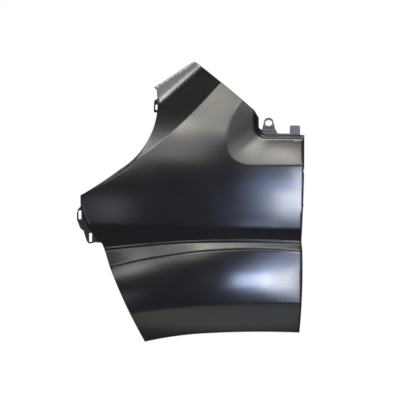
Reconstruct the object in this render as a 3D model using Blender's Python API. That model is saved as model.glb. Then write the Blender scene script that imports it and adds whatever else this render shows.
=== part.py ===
# Front left fender of a van, moulded as one skin with its return flanges, tabs and snap windows.
# The outer face looks along -Y, the door edge is at +X and the lamp cut-out at -X.
# Sizes are millimetres measured in the side view (x along the car, z up) and y into the car.
# The finished mesh is moved so that its origin lies on the back face of the bolt tab.

import math

import bmesh
import bpy
import numpy as np
from mathutils import Vector
from mathutils.geometry import delaunay_2d_cdt

MM = 0.001

# Skin
WALL = 2.5
COLUMN = 27.0
ROW = 25.0
EDGE_STEP = 24.0
ARC_STEP = 13.0
LAMP_STEP = 17.0
CLEAR_OF_LINE = 9.0
ROLL_LINES = 4
SWELL_SHARES = (0.88, 0.74, 0.6, 0.46, 0.32, 0.18, 0.0)
SKIRT_SHARES = (0.35, 0.7)
FOOT_STEP = 6.0
CROWN_STEP = 5.0
HOLE_SIDES = 20
SHORTEST_EDGE = 1.6
NEAR = 0.05

# Outline of the skin before its edges bend in, from the lower front corner round by the door edge
LOWER_FRONT = (-134.2, 3.3)
LOWER_MIDDLE = (-40.5, 20.6)
LOWER_JOIN = (56.0, 29.6)
LOWER_REAR_MIDDLE = (199.5, 34.2)
LOWER_REAR = (325.0, 32.0)
DOOR_LOW_MIDDLE = (332.6, 150.0)
WAIST_LOW = (333.4, 272.0)
WAIST_TALL = 31.0
WAIST_IN = 2.8
WAIST_TOP = (WAIST_LOW[0] - WAIST_IN, WAIST_LOW[1] + WAIST_TALL)
DOOR_MIDDLE = (336.0, 450.0)
NOTCH_REAR = (338.0, 607.5)
NOTCH_CORNER = (192.3, 608.5)
NOTCH_RADIUS = 36.0
NOTCH_TOP = (192.0, 693.0)
COWL_MIDDLE = (105.8, 767.2)
COWL_TOP = (17.3, 840.0)
PEAK = (10.0, 843.6)
HOOD_TIP = (-107.5, 766.9)
LIP_END = (-98.5, 760.5)
LAMP_TOP = (-95.5, 728.0)
LAMP_MIDDLE = (-166.0, 549.5)
LAMP_LOW = (-208.5, 516.6)
SHELF_MIDDLE = (-261.5, 479.0)
FRONT_TIP = (-329.0, 437.8)
FRONT_MIDDLE = (-311.0, 369.0)
FRONT_LOW = (-264.0, 299.5)
GROOVE_FRONT_TOP = (-254.7, 277.0)
GROOVE_FRONT_LOW = (-240.2, 229.0)
LOWER_FRONT_MIDDLE = (-195.6, 122.8)

# Long lines of the pressing, each a parabola through three points
BODY_LINE = ((-275.0, 350.7), (12.0, 344.7), (331.0, 339.0))
GROOVE_TOP = ((-258.0, 281.7), (22.5, 305.5), (331.0, 302.4))
GROOVE_LOW = ((-243.0, 224.7), (22.5, 272.5), (331.0, 274.8))
SKIRT_LINE = ((-173.0, 82.5), (22.5, 108.9), (331.0, 117.0))
LOWER_EDGE = (LOWER_FRONT, LOWER_JOIN, LOWER_REAR)

# Depths of the section below the body line
UNDERCUT = 16.0
BEAD_HIGH = 3.5
BEAD_RISE = 3.0
BEAD_FALL = 3.5
BAND_TOP_DEPTH = 18.0
BAND_LOW_DEPTH = 7.0
RIDGE_HIGH = 1.5
STEP_DEEP = 3.5
STEP_TALL = 3.5
SWELL_TOP_DEPTH = 9.0
SWELL_CREST = 10.5
SWELL_CREST_AT = 0.35
CREST_FADE = 12.0
CREST_FADE_START = -60.0
SKIRT_RETURN = 24.0

# Sweep of the whole side: depth of the front tip, lean at the top of the curve, tuck at the body line
PLAN_SWEEP = 165.0
LEAN_START = 430.0
LEAN_END = 700.0
LEAN = 82.0
TUCK = 4.6
TUCK_END = 342.0

# Bowl behind the shoulder line, where the skin falls in towards the notch
SHOULDER_Z = 530.0
SHOULDER_SLOPE = 0.32
BOWL_CENTRE = (299.0, 600.0)
BOWL_RADIUS = 190.0
BOWL_CORNER = 60.0
BOWL_TURNS = (300.0, 115.0)
BOWL_STEP = 5.0

# Facet above the pillar crease, and the roll into the hood gutter, which runs down from its point at an angle
PILLAR_LINE = ((-204.0, 510.3), (-45.0, 639.0), (90.0, 778.0))
PILLAR_SLOPE = 0.26
ROLL_POINT = (-26.7, 787.2)
ROLL_ANGLE = 41.1
ROLL_START = -22.0
ROLL_WIDTH = 34.0
ROLL_SLOPE = 1.4
ROLL_BEFORE = 100.0
ROLL_AFTER = 140.0

# Return flanges, as (outwards, inwards) from the skin's edge, from the bend to the free edge
LOWER_FLANGE = ((1.5, 0.5), (2.4, 1.8), (2.7, 5.0), (2.9, 8.5), (3.0, 12.0))
DOOR_FLANGE = ((1.8, 0.5), (3.4, 2.0), (4.2, 5.0), (4.7, 8.5), (5.1, 12.0))
NOTCH_REAR_FLANGE = ((2.0, 0.9), (3.2, 6.5), (9.0, 8.0), (10.5, 14.0), (13.0, 15.5))
NOTCH_FLOOR_FLANGE = ((2.0, 0.9), (3.2, 6.5), (11.5, 8.5), (13.0, 15.5), (17.5, 17.0))
NOTCH_CORNER_FLANGE = ((2.0, 0.9), (5.0, 7.5), (10.5, 10.5), (17.0, 15.5), (25.0, 17.0))
NOTCH_SIDE_FLANGE = ((2.0, 0.9), (7.0, 8.5), (9.6, 13.0), (14.0, 14.0), (14.6, 17.0))
HOOD_FLANGE = ((0.6, 0.6), (0.9, 2.0), (1.0, 3.5), (1.1, 5.0), (1.2, 7.0))
BRACKET_FLANGE = ((2.5, 0.8), (5.0, 2.6), (6.2, 7.0), (6.6, 11.5), (7.0, 16.0))
BRACKET_LOW_FLANGE = ((2.0, 0.7), (3.6, 2.3), (4.4, 6.5), (4.7, 11.5), (5.0, 16.0))
REAR_BLEND = 18.0
NEARLY_STRAIGHT = 0.25

# Relief cut through the door flange
RELIEF_Z = 511.0
RELIEF_TALL = 13.0
RELIEF_RIM = 1.4
RELIEF_CLEAR = 8.0
RELIEF_CORNER = 2.0

# Bolt tab, which stands up from the notch flange
BOLT_TAB_FROM_CORNER = 43.7
BOLT_TAB_X = NOTCH_CORNER[0] + BOLT_TAB_FROM_CORNER
BOLT_TAB_TOP = 64.5
BOLT_TAB_HALF_TOP = 12.6
BOLT_TAB_HALF_LOW = 19.2
BOLT_TAB_FOOT = 17.0
BOLT_TAB_FOOT_MIDDLE = (6.8, 5.5)
BOLT_TAB_HEEL = (2.5, 4.0)
BOLT_TAB_INSET = 1.0
BOLT_TAB_CROWN = 6.3
BOLT_HOLE_X = 10.7
BOLT_HOLE_Z = 8.7
BOLT_HOLE_UP = 48.7
JOGGLE = 3.0
JOGGLE_LOW = (22.0, 26.0)
JOGGLE_HIGH = (32.0, 36.5)

# Locating tab, beside the door edge
SIDE_TAB_FROM_EDGE = 23.5
SIDE_TAB_X = NOTCH_REAR[0] - SIDE_TAB_FROM_EDGE
SIDE_TAB_HALF = 15.3
SIDE_TAB_TOP = 41.8
SIDE_TAB_CHAMFER = 6.0
SIDE_TAB_NOSE = 4.2
SIDE_TAB_BREAK = 1.2

TAB_BEHIND = 17.8
TAB_ROOT = 3.2

# Stop nub on the door flange
NUB_Z = 409.5
NUB_TALL = 5.0
NUB_OUT = 2.4
NUB_CORNER = 1.0

# Bracket with two snap windows at the front edge. Its outline is given from the outer top corner of the
# upper land and from the outer lower corner of the lower land
WINDOW_WIDE = 8.4
WINDOW_TALL = 26.2
WINDOW_CORNER = 2.4
WINDOW_UPPER = (-331.5, 381.3)
WINDOW_LOWER = (-299.4, 313.3)
LAND = 5.0
BRACKET_BEHIND = 9.5
BRACKET_STEP = 5.0
BRACKET_STEP_Z = 341.0
BRACKET_STEP_TALL = 8.0
ROOT_INSET = 0.5
ROOT_TOP = 17.5
UPPER_FRAME = ((3.0, 3.0), (0.0, -8.0), (0.0, -27.2), (5.0, -40.2), (10.0, -53.4))
LOWER_FRAME = ((-12.0, 37.8), (-7.5, 22.8), (-2.5, 7.5), (2.5, 1.0), (8.2, -0.5), (24.2, 3.5))

# Loop beside the top of the lamp cut-out
LOOP_OUT = 14.0
LOOP_LOW = 690.0
LOOP_TALL = 35.0
LOOP_WINDOW = (6.2, 15.5)
LOOP_LAND = 5.2
LOOP_SILL = 7.8
LOOP_BEHIND = 8.0
LOOP_SHOULDER = 8.0
LOOP_BREAK = 1.0
LOOP_CORNER = 1.5


def parabola(line, x):
    """Height at x of the parabola through the three points of a line."""
    (xa, za), (xb, zb), (xc, zc) = line
    first = (zb - za) / (xb - xa)
    second = ((zc - zb) / (xc - xb) - first) / (xc - xa)
    return za + (x - xa) * (first + second * (x - xb))


def ramp(distance, width):
    """Distance where positive and nothing where negative, rounded over width."""
    half = width / 2
    if distance <= -half:
        return 0.0
    if distance >= half:
        return distance
    return (distance + half) ** 2 / (2 * width)


def rounded_least(a, b, radius):
    """The lesser of two distances, with the corner between them rounded."""
    share = min(1.0, max(0.0, 0.5 + 0.5 * (b - a) / radius))
    return b + (a - b) * share - radius * share * (1 - share)


def section_levels(x):
    """Height and depth of every corner of the section from the body line down to the skirt line."""
    body = parabola(BODY_LINE, x)
    top = parabola(GROOVE_TOP, x)
    low = parabola(GROOVE_LOW, x)
    bead = UNDERCUT - BEAD_HIGH
    band_top = top - BEAD_RISE - 2 * BEAD_FALL
    levels = [
        (body, 0.0),
        (top, UNDERCUT),
        (top - BEAD_RISE, bead),
        (top - BEAD_RISE - BEAD_FALL, bead + BEAD_HIGH),
        (band_top, BAND_TOP_DEPTH),
        (low + STEP_TALL, BAND_LOW_DEPTH),
        (low, BAND_LOW_DEPTH - RIDGE_HIGH),
        (low - STEP_TALL, BAND_LOW_DEPTH - RIDGE_HIGH + STEP_DEEP),
        (low - 2 * STEP_TALL, SWELL_TOP_DEPTH),
    ]
    return levels


def crest_height(x):
    """How far the crest of the swell stands out of the side. It sinks towards the door."""
    share = max(0.0, x - CREST_FADE_START) / (NOTCH_REAR[0] - CREST_FADE_START)
    return SWELL_CREST - CREST_FADE * share * share


def swell_depth(x, share):
    """Depth of the swell over the wheel, at a share of its height above the skirt line."""
    away = (share - SWELL_CREST_AT) / (1 - SWELL_CREST_AT)
    return (SWELL_TOP_DEPTH + crest_height(x)) * away * away - crest_height(x)


def section_depth(x, z):
    """How far the section below the body line lies behind the flat of the door edge."""
    levels = section_levels(x)
    if z >= levels[0][0]:
        return 0.0
    swell_top = levels[-1][0]
    skirt = parabola(SKIRT_LINE, x)
    if z <= skirt:
        fall = (skirt - z) / (skirt - parabola(LOWER_EDGE, x))
        return swell_depth(x, 0.0) + SKIRT_RETURN * fall
    if z <= swell_top:
        return swell_depth(x, (z - skirt) / (swell_top - skirt))
    heights = [level[0] for level in reversed(levels)]
    depths = [level[1] for level in reversed(levels)]
    return float(np.interp(z, heights, depths))


def plan_depth(x):
    """Sweep of the side in plan, from the door edge forwards."""
    return PLAN_SWEEP * ((NOTCH_REAR[0] - x) / (NOTCH_REAR[0] - FRONT_TIP[0])) ** 2


def lean_depth(z):
    """Lean of the skin towards the windscreen above the belt, and its slight tuck below."""
    if z < LEAN_START:
        return TUCK * ((LEAN_START - max(z, TUCK_END)) / (LEAN_START - TUCK_END)) ** 2
    curve = LEAN_END - LEAN_START
    curved = min(z, LEAN_END) - LEAN_START
    return LEAN * curved / curve * (curved + 2 * max(0.0, z - LEAN_END)) / curve


def shoulder_depth(x, z):
    """Bowl above the shoulder line, where the skin falls in towards the notch."""
    inside = BOWL_RADIUS - math.dist((x, z), BOWL_CENTRE)
    return SHOULDER_SLOPE * max(0.0, rounded_least(z - SHOULDER_Z, inside, BOWL_CORNER))


def roll_direction():
    turn = math.radians(ROLL_ANGLE)
    return -math.sin(turn), math.cos(turn)


def pillar_depth(x, z):
    """Facet above the pillar crease, and the roll into the hood gutter."""
    beyond = z - parabola(PILLAR_LINE, x)
    across = roll_direction()
    past = (x - ROLL_POINT[0]) * across[0] + (z - ROLL_POINT[1]) * across[1]
    middle = ROLL_START + ROLL_WIDTH / 2
    return PILLAR_SLOPE * max(0.0, beyond) + ROLL_SLOPE * ramp(past - middle, ROLL_WIDTH)


def skin_depth(x, z):
    above = shoulder_depth(x, z) + pillar_depth(x, z) if z > TUCK_END else 0.0
    return plan_depth(x) + lean_depth(z) + section_depth(x, z) + above


def straight(a, b, step):
    """Points from a up to, but not including, b."""
    count = max(1, round(math.dist(a, b) / step))
    return [(a[0] + (b[0] - a[0]) * i / count, a[1] + (b[1] - a[1]) * i / count) for i in range(count)]


def circle_through(a, b, c):
    (ax, az), (bx, bz), (cx, cz) = a, b, c
    d = 2 * (ax * (bz - cz) + bx * (cz - az) + cx * (az - bz))
    a2, b2, c2 = ax * ax + az * az, bx * bx + bz * bz, cx * cx + cz * cz
    x = (a2 * (bz - cz) + b2 * (cz - az) + c2 * (az - bz)) / d
    z = (a2 * (cx - bx) + b2 * (ax - cx) + c2 * (bx - ax)) / d
    return x, z


def arc(a, b, c, step):
    """Points on the circle through a, b and c, from a up to, but not including, c."""
    centre = circle_through(a, b, c)
    radius = math.dist(a, centre)
    start, through, end = (math.atan2(p[1] - centre[1], p[0] - centre[0]) for p in (a, b, c))
    sweep = (end - start) % math.tau
    if (through - start) % math.tau > sweep:
        sweep -= math.tau
    count = max(2, round(abs(sweep) * radius / step))
    turns = [start + sweep * i / count for i in range(count)]
    return [(centre[0] + radius * math.cos(t), centre[1] + radius * math.sin(t)) for t in turns]


def fillet(before, corner, after, radius):
    """First, middle and last point of the arc that rounds a corner."""
    corner = Vector(corner)
    back = (Vector(before) - corner).normalized()
    ahead = (Vector(after) - corner).normalized()
    half = back.angle(ahead) / 2
    reach = radius / math.tan(half)
    centre = corner + (back + ahead).normalized() * (radius / math.sin(half))
    middle = centre + (corner - centre).normalized() * radius
    return tuple(corner + back * reach), tuple(middle), tuple(corner + ahead * reach)


def notch_fillet():
    return fillet(NOTCH_REAR, NOTCH_CORNER, NOTCH_TOP, NOTCH_RADIUS)


def outline_runs():
    """The skin's edge as runs of points, each with its flange at the start and at the end."""
    first, middle, last = notch_fillet()
    blend = (NOTCH_REAR[0] - REAR_BLEND, notch_floor_z(NOTCH_REAR[0] - REAR_BLEND))
    fillet_low, fillet_high = split(arc(first, middle, last, ARC_STEP))
    return [
        (arc(LOWER_FRONT, LOWER_MIDDLE, LOWER_JOIN, EDGE_STEP), LOWER_FLANGE, LOWER_FLANGE),
        (arc(LOWER_JOIN, LOWER_REAR_MIDDLE, LOWER_REAR, EDGE_STEP), LOWER_FLANGE, LOWER_FLANGE),
        (arc(LOWER_REAR, DOOR_LOW_MIDDLE, WAIST_LOW, EDGE_STEP), LOWER_FLANGE, LOWER_FLANGE),
        (straight(WAIST_LOW, WAIST_TOP, EDGE_STEP), LOWER_FLANGE, LOWER_FLANGE),
        (arc(WAIST_TOP, DOOR_MIDDLE, NOTCH_REAR, EDGE_STEP), LOWER_FLANGE, DOOR_FLANGE),
        ([NOTCH_REAR], NOTCH_REAR_FLANGE, NOTCH_FLOOR_FLANGE),
        (straight(blend, first, EDGE_STEP), NOTCH_FLOOR_FLANGE, NOTCH_FLOOR_FLANGE),
        (fillet_low, NOTCH_FLOOR_FLANGE, NOTCH_CORNER_FLANGE),
        (fillet_high, NOTCH_CORNER_FLANGE, NOTCH_SIDE_FLANGE),
        (straight(last, NOTCH_TOP, EDGE_STEP), NOTCH_SIDE_FLANGE, NOTCH_SIDE_FLANGE),
        (arc(NOTCH_TOP, COWL_MIDDLE, COWL_TOP, EDGE_STEP), LOWER_FLANGE, LOWER_FLANGE),
        (straight(COWL_TOP, PEAK, EDGE_STEP), LOWER_FLANGE, HOOD_FLANGE),
        (straight(PEAK, HOOD_TIP, EDGE_STEP), HOOD_FLANGE, HOOD_FLANGE),
        (straight(HOOD_TIP, LIP_END, EDGE_STEP), HOOD_FLANGE, LOWER_FLANGE),
        (straight(LIP_END, LAMP_TOP, EDGE_STEP), LOWER_FLANGE, LOWER_FLANGE),
        (arc(LAMP_TOP, LAMP_MIDDLE, LAMP_LOW, LAMP_STEP), LOWER_FLANGE, LOWER_FLANGE),
        (arc(LAMP_LOW, SHELF_MIDDLE, FRONT_TIP, EDGE_STEP), LOWER_FLANGE, LOWER_FLANGE),
        *front_runs(),
        (straight(FRONT_LOW, GROOVE_FRONT_TOP, EDGE_STEP), LOWER_FLANGE, LOWER_FLANGE),
        (straight(GROOVE_FRONT_TOP, GROOVE_FRONT_LOW, EDGE_STEP), LOWER_FLANGE, LOWER_FLANGE),
        (arc(GROOVE_FRONT_LOW, LOWER_FRONT_MIDDLE, LOWER_FRONT, EDGE_STEP), LOWER_FLANGE, LOWER_FLANGE),
    ]


def split(run):
    middle = len(run) // 2
    return run[:middle], run[middle:]


def front_runs():
    """The front edge, whose flange widens into the wall that carries the bracket."""
    edge = arc(FRONT_TIP, FRONT_MIDDLE, FRONT_LOW, ARC_STEP)
    return [
        (edge[:3], HOOD_FLANGE, BRACKET_FLANGE),
        (edge[3:-2], BRACKET_FLANGE, BRACKET_FLANGE),
        (edge[-2:], BRACKET_FLANGE, BRACKET_LOW_FLANGE),
    ]


def door_edge_x(z):
    centre = circle_through(WAIST_TOP, DOOR_MIDDLE, NOTCH_REAR)
    radius = math.dist(WAIST_TOP, centre)
    side = math.copysign(1.0, DOOR_MIDDLE[0] - centre[0])
    return centre[0] + side * math.sqrt(radius**2 - (z - centre[1]) ** 2)


def lower_lines():
    """The long lines of the section, as functions of x, from the body line down."""
    count = len(section_levels(0.0))
    corners = [lambda x, i=i: section_levels(x)[i][0] for i in range(count)]
    between = [
        lambda x: (section_levels(x)[0][0] + section_levels(x)[1][0]) / 2,
        lambda x: (section_levels(x)[4][0] + section_levels(x)[5][0]) / 2,
    ]

    def swell(share):
        return lambda x: parabola(SKIRT_LINE, x) + share * (
            section_levels(x)[-1][0] - parabola(SKIRT_LINE, x)
        )

    def skirt(share):
        return lambda x: parabola(SKIRT_LINE, x) * (1 - share) + share * parabola(LOWER_EDGE, x)

    swells = [swell(share) for share in SWELL_SHARES]
    skirts = [skirt(share) for share in SKIRT_SHARES]
    return corners + between + swells + skirts


def skin_lines():
    """Feature lines that the mesh follows: the section's lines, the shoulder, the crease and the roll."""
    columns = np.arange(LAMP_LOW[0] - 3 * COLUMN, NOTCH_REAR[0] + COLUMN, COLUMN)
    lines = [[(x, line(x)) for x in columns] for line in lower_lines()]
    lines.append([(x, parabola(PILLAR_LINE, x)) for x in columns])
    lines.append(shoulder_line())
    across = roll_direction()
    for k in range(ROLL_LINES):
        away = ROLL_START + k * ROLL_WIDTH / (ROLL_LINES - 1)
        start = (ROLL_POINT[0] + across[0] * away, ROLL_POINT[1] + across[1] * away)
        reach = np.arange(-ROLL_AFTER, ROLL_BEFORE, ROW)
        lines.append([(start[0] + across[1] * t, start[1] - across[0] * t) for t in reach])
    return lines


def bowl_edge(turn):
    """Where a ray from the bowl's centre leaves the bowl."""
    c, s = math.cos(math.radians(turn)), math.sin(math.radians(turn))
    low, high = 0.0, BOWL_RADIUS
    for _ in range(30):
        middle = (low + high) / 2
        x, z = BOWL_CENTRE[0] + middle * c, BOWL_CENTRE[1] + middle * s
        if shoulder_depth(x, z) > 0:
            low = middle
        else:
            high = middle
    return BOWL_CENTRE[0] + low * c, BOWL_CENTRE[1] + low * s


def shoulder_line():
    """The shoulder, level from the door edge, then turned up round the bowl."""
    points = []
    for turn in np.arange(BOWL_TURNS[0], BOWL_TURNS[1], -BOWL_STEP):
        point = bowl_edge(turn)
        if not points or math.dist(point, points[-1]) > ROW / 2:
            points.append(point)
    return points


def lattice(lines):
    """Free points above the body line, clear of the feature lines."""
    near = np.array([p for line in lines for p in line])
    points = []
    for z in np.arange(BODY_LINE[0][1] + ROW, PEAK[1], ROW):
        for x in np.arange(FRONT_TIP[0], NOTCH_REAR[0], COLUMN):
            if np.min(np.hypot(near[:, 0] - x, near[:, 1] - z)) > CLEAR_OF_LINE:
                points.append((float(x), float(z)))
    return points


def triangulate(outline, holes, lines, points):
    """Triangles of the area inside the outline and outside the holes, along the given lines."""
    coords, edges, faces = [], [], []

    def add(path, closed):
        start = len(coords)
        coords.extend(Vector(p) for p in path)
        edges.extend((start + i, start + i + 1) for i in range(len(path) - 1))
        if closed:
            edges.append((start + len(path) - 1, start))
            faces.append(list(range(start, start + len(path))))

    add(outline, True)
    for hole in holes:
        add(hole, True)
    for line in lines:
        add(line, False)
    coords.extend(Vector(p) for p in points)
    found = delaunay_2d_cdt(coords, edges, faces, 0, 0.01, True)
    inside = [face for face, origin in zip(found[2], found[5]) if list(origin) == [0]]
    return found[0], inside


def front_mesh(outline, holes, lines, points, depth):
    """A bmesh of one open face that looks along -Y, lifted to its depth."""
    flat, faces = triangulate(outline, holes, lines, points)
    bm = bmesh.new()
    verts = [bm.verts.new((p[0], depth(p[0], p[1]), p[1])) for p in flat]
    for face in faces:
        bm.faces.new([verts[i] for i in face])
    bmesh.ops.delete(bm, geom=[v for v in bm.verts if not v.link_faces], context="VERTS")
    for face in bm.faces:
        face.normal_update()
        if face.normal.y > 0:
            face.normal_flip()
    return bm


def edge_loop(bm):
    """The boundary's vertices in order, with the skin on their left as seen from the front."""
    after = {}
    for edge in bm.edges:
        if edge.is_boundary:
            loop = edge.link_loops[0]
            after[loop.vert] = loop.link_loop_next.vert
    start = min(after, key=lambda v: (v.co.z, v.co.x))
    loop, vert = [start], after[start]
    while vert is not start:
        loop.append(vert)
        vert = after[vert]
    return loop


def flange_stations(runs):
    """The outline's segments, and the flange at each distance along it, before and after each corner."""
    where, profiles, segments, travelled = [], [], [], 0.0
    for i, (run, at_start, at_end) in enumerate(runs):
        points = run + [runs[(i + 1) % len(runs)][0][0]]
        where.append(travelled + NEAR)
        profiles.append(at_start)
        for a, b in zip(points, points[1:]):
            segments.append((travelled, a, b))
            travelled += math.dist(a, b)
        where.append(travelled - NEAR)
        profiles.append(at_end)
    return segments, where, profiles, travelled


def distance_along(segments, x, z):
    """Distance along the outline of the place nearest to a point."""
    best = (math.inf, 0.0)
    for start, a, b in segments:
        length = math.dist(a, b)
        along = ((x - a[0]) * (b[0] - a[0]) + (z - a[1]) * (b[1] - a[1])) / length
        along = min(length, max(0.0, along))
        place = (a[0] + (b[0] - a[0]) * along / length, a[1] + (b[1] - a[1]) * along / length)
        best = min(best, (math.dist((x, z), place), start + along))
    return best[1]


def outward(a, b):
    """Unit normal of the step from a to b along the outline, away from the skin."""
    step = Vector((b.co.x - a.co.x, b.co.z - a.co.z)).normalized()
    return Vector((step.y, -step.x))


def corner_offset(normal_a, out_a, normal_b, out_b):
    """Where two edges meet once each is moved outwards by its own distance."""
    cross = normal_a.x * normal_b.y - normal_a.y * normal_b.x
    if abs(cross) < NEARLY_STRAIGHT:
        middle = (normal_a + normal_b).normalized()
        return middle * ((out_a + out_b) / 2 / middle.dot(normal_a))
    x = (out_a * normal_b.y - out_b * normal_a.y) / cross
    z = (out_b * normal_a.x - out_a * normal_b.x) / cross
    return Vector((x, z))


def add_flanges(bm, runs):
    """Bends the return flanges in along the whole edge, each with its own profile."""
    segments, where, profiles, whole = flange_stations(runs)
    loop = edge_loop(bm)
    count = len(loop)
    depth = len(LOWER_FLANGE)
    rings = [loop] + [[] for _ in range(depth)]
    for i, vert in enumerate(loop):
        normal_a = outward(loop[i - 1], vert)
        normal_b = outward(vert, loop[(i + 1) % count])
        s = distance_along(segments, vert.co.x, vert.co.z)
        before, after = (s - 2 * NEAR) % whole, (s + 2 * NEAR) % whole
        for k in range(depth):
            out_a, out_b = (np.interp(t, where, [p[k][0] for p in profiles]) for t in (before, after))
            in_a, in_b = (np.interp(t, where, [p[k][1] for p in profiles]) for t in (before, after))
            move = corner_offset(normal_a, float(out_a), normal_b, float(out_b))
            place = (vert.co.x + move.x, vert.co.y + float(in_a + in_b) / 2, vert.co.z + move.y)
            rings[k + 1].append(bm.verts.new(place))
    for near, far in zip(rings, rings[1:]):
        for i in range(count):
            j = (i + 1) % count
            bm.faces.new((near[j], near[i], far[i], far[j]))


def clean(bm):
    bmesh.ops.dissolve_degenerate(bm, dist=SHORTEST_EDGE, edges=bm.edges)
    bmesh.ops.triangulate(bm, faces=[f for f in bm.faces if len(f.verts) > 4])


def thicken(bm, thickness):
    """Closes an open front face into a plate by carrying it back along +Y."""
    made = bmesh.ops.extrude_face_region(bm, geom=bm.faces[:], use_keep_orig=True)
    backs = [g for g in made["geom"] if isinstance(g, bmesh.types.BMVert)]
    bmesh.ops.translate(bm, verts=backs, vec=(0.0, thickness, 0.0))
    bmesh.ops.recalc_face_normals(bm, faces=bm.faces)


def rounded_box(centre, wide, tall, radius, corner_steps=3):
    """Outline of an upright slot with rounded corners, anticlockwise."""
    points = []
    for i, (sx, sz) in enumerate(((1, -1), (1, 1), (-1, 1), (-1, -1))):
        cx = centre[0] + sx * (wide / 2 - radius)
        cz = centre[1] + sz * (tall / 2 - radius)
        for k in range(corner_steps + 1):
            turn = math.radians(-90 + 90 * i + 90 * k / corner_steps)
            points.append((cx + radius * math.cos(turn), cz + radius * math.sin(turn)))
    return points


def ellipse(centre, half_x, half_z, count):
    turns = [math.tau * i / count for i in range(count)]
    return [(centre[0] + half_x * math.cos(t), centre[1] + half_z * math.sin(t)) for t in turns]


def notch_floor_z(x):
    """Height of the notch's lower edge at x."""
    share = (x - NOTCH_CORNER[0]) / (NOTCH_REAR[0] - NOTCH_CORNER[0])
    return NOTCH_CORNER[1] + share * (NOTCH_REAR[1] - NOTCH_CORNER[1])


def tab_level(x):
    """Depth of the plane in which a tab at x leaves the notch flange."""
    return skin_depth(x, notch_floor_z(x)) + TAB_BEHIND


def tab_base(x):
    """Height of a tab's root, inside the notch flange."""
    return notch_floor_z(x) + NOTCH_FLOOR_FLANGE[-1][0] - TAB_ROOT


def joggled(up, step):
    return JOGGLE * min(1.0, max(0.0, (up - step[0]) / (step[1] - step[0])))


def bolt_tab_depth(x, z):
    up = z - notch_floor_z(BOLT_TAB_X)
    return tab_level(BOLT_TAB_X) + joggled(up, JOGGLE_LOW) + joggled(up, JOGGLE_HIGH)


def bolt_tab():
    x, floor, base = BOLT_TAB_X, notch_floor_z(BOLT_TAB_X), tab_base(BOLT_TAB_X)
    top, knee = floor + BOLT_TAB_TOP, floor + JOGGLE_HIGH[0]
    crown_right = (x + BOLT_TAB_HALF_TOP, top - BOLT_TAB_CROWN)
    crown_left = (x - BOLT_TAB_HALF_TOP, top - BOLT_TAB_CROWN)
    low_right = x + BOLT_TAB_HALF_LOW
    foot_start = (low_right + BOLT_TAB_FOOT, base)
    foot_middle = (low_right + BOLT_TAB_FOOT_MIDDLE[0], base + BOLT_TAB_FOOT_MIDDLE[1])
    foot_end = (low_right + BOLT_TAB_HEEL[0], knee - BOLT_TAB_HEEL[1])
    outline = [
        (x - BOLT_TAB_HALF_LOW + BOLT_TAB_INSET, base),
        *arc(foot_start, foot_middle, foot_end, FOOT_STEP),
        foot_end,
        (low_right, knee),
        *arc(crown_right, (x, top), crown_left, CROWN_STEP),
        crown_left,
        (x - BOLT_TAB_HALF_LOW, knee),
    ]
    hole = ellipse((x, floor + BOLT_HOLE_UP), BOLT_HOLE_X, BOLT_HOLE_Z, HOLE_SIDES)
    wide = 3 * BOLT_TAB_HALF_LOW
    bends = [[(x - wide, floor + up), (x + wide, floor + up)] for up in JOGGLE_LOW + JOGGLE_HIGH]
    return plate("bolt_tab", outline, [hole], bends, bolt_tab_depth)


def side_tab():
    base = tab_base(SIDE_TAB_X)
    top = notch_floor_z(SIDE_TAB_X) + SIDE_TAB_TOP
    left, right = SIDE_TAB_X - SIDE_TAB_HALF, SIDE_TAB_X + SIDE_TAB_HALF
    level = tab_level(SIDE_TAB_X)
    outline = [
        (left, base),
        (right, base),
        (right, top - SIDE_TAB_NOSE),
        (right - SIDE_TAB_BREAK, top - SIDE_TAB_BREAK),
        (right - SIDE_TAB_NOSE, top),
        (left + SIDE_TAB_CHAMFER, top),
        (left + SIDE_TAB_BREAK, top - SIDE_TAB_BREAK),
        (left, top - SIDE_TAB_CHAMFER),
    ]
    return plate("side_tab", outline, [], [], lambda x, z: level)


def relief_cutter():
    """Cuts the door flange away behind the rim of the skin, over the height of the relief."""
    edge_x = door_edge_x(RELIEF_Z)
    wide = DOOR_FLANGE[-1][0] + RELIEF_CLEAR
    centre = (edge_x + wide / 2 + RELIEF_RIM / 4, RELIEF_Z)
    level = skin_depth(edge_x, RELIEF_Z) + RELIEF_RIM
    outline = rounded_box(centre, wide, RELIEF_TALL, RELIEF_CORNER)
    bm = front_mesh(outline, [], [], [], lambda x, z: level)
    thicken(bm, DOOR_FLANGE[-1][1] + RELIEF_CLEAR)
    return make_object("relief_cutter", bm, hidden=True)


def door_nub():
    x, out = door_edge_x(NUB_Z), DOOR_FLANGE[-1][0]
    centre = (x + (out + NUB_OUT) / 2 - WALL / 2, NUB_Z)
    outline = rounded_box(centre, out + NUB_OUT - WALL, NUB_TALL, NUB_CORNER, 2)
    level = skin_depth(x, NUB_Z) + DOOR_FLANGE[2][1]
    return plate("door_nub", outline, [], [], lambda x, z: level)


def bracket_level():
    return skin_depth(*FRONT_MIDDLE) + BRACKET_BEHIND


def bracket_depth(x, z):
    down = min(1.0, max(0.0, (BRACKET_STEP_Z - z) / BRACKET_STEP_TALL))
    return bracket_level() - BRACKET_STEP * down


def bracket_root():
    """The line along which the bracket ends inside the front wall, upwards."""
    out = BRACKET_LOW_FLANGE[2][0] - ROOT_INSET
    edge = arc(FRONT_TIP, FRONT_MIDDLE, FRONT_LOW, ARC_STEP) + [FRONT_LOW]
    root = []
    for before, place, after in zip(edge[:1] + edge, edge, edge[1:] + edge[-1:]):
        along = (Vector(after) - Vector(before)).normalized()
        root.append((place[0] + along.y * out, place[1] - along.x * out))
    return root[::-1]


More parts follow.
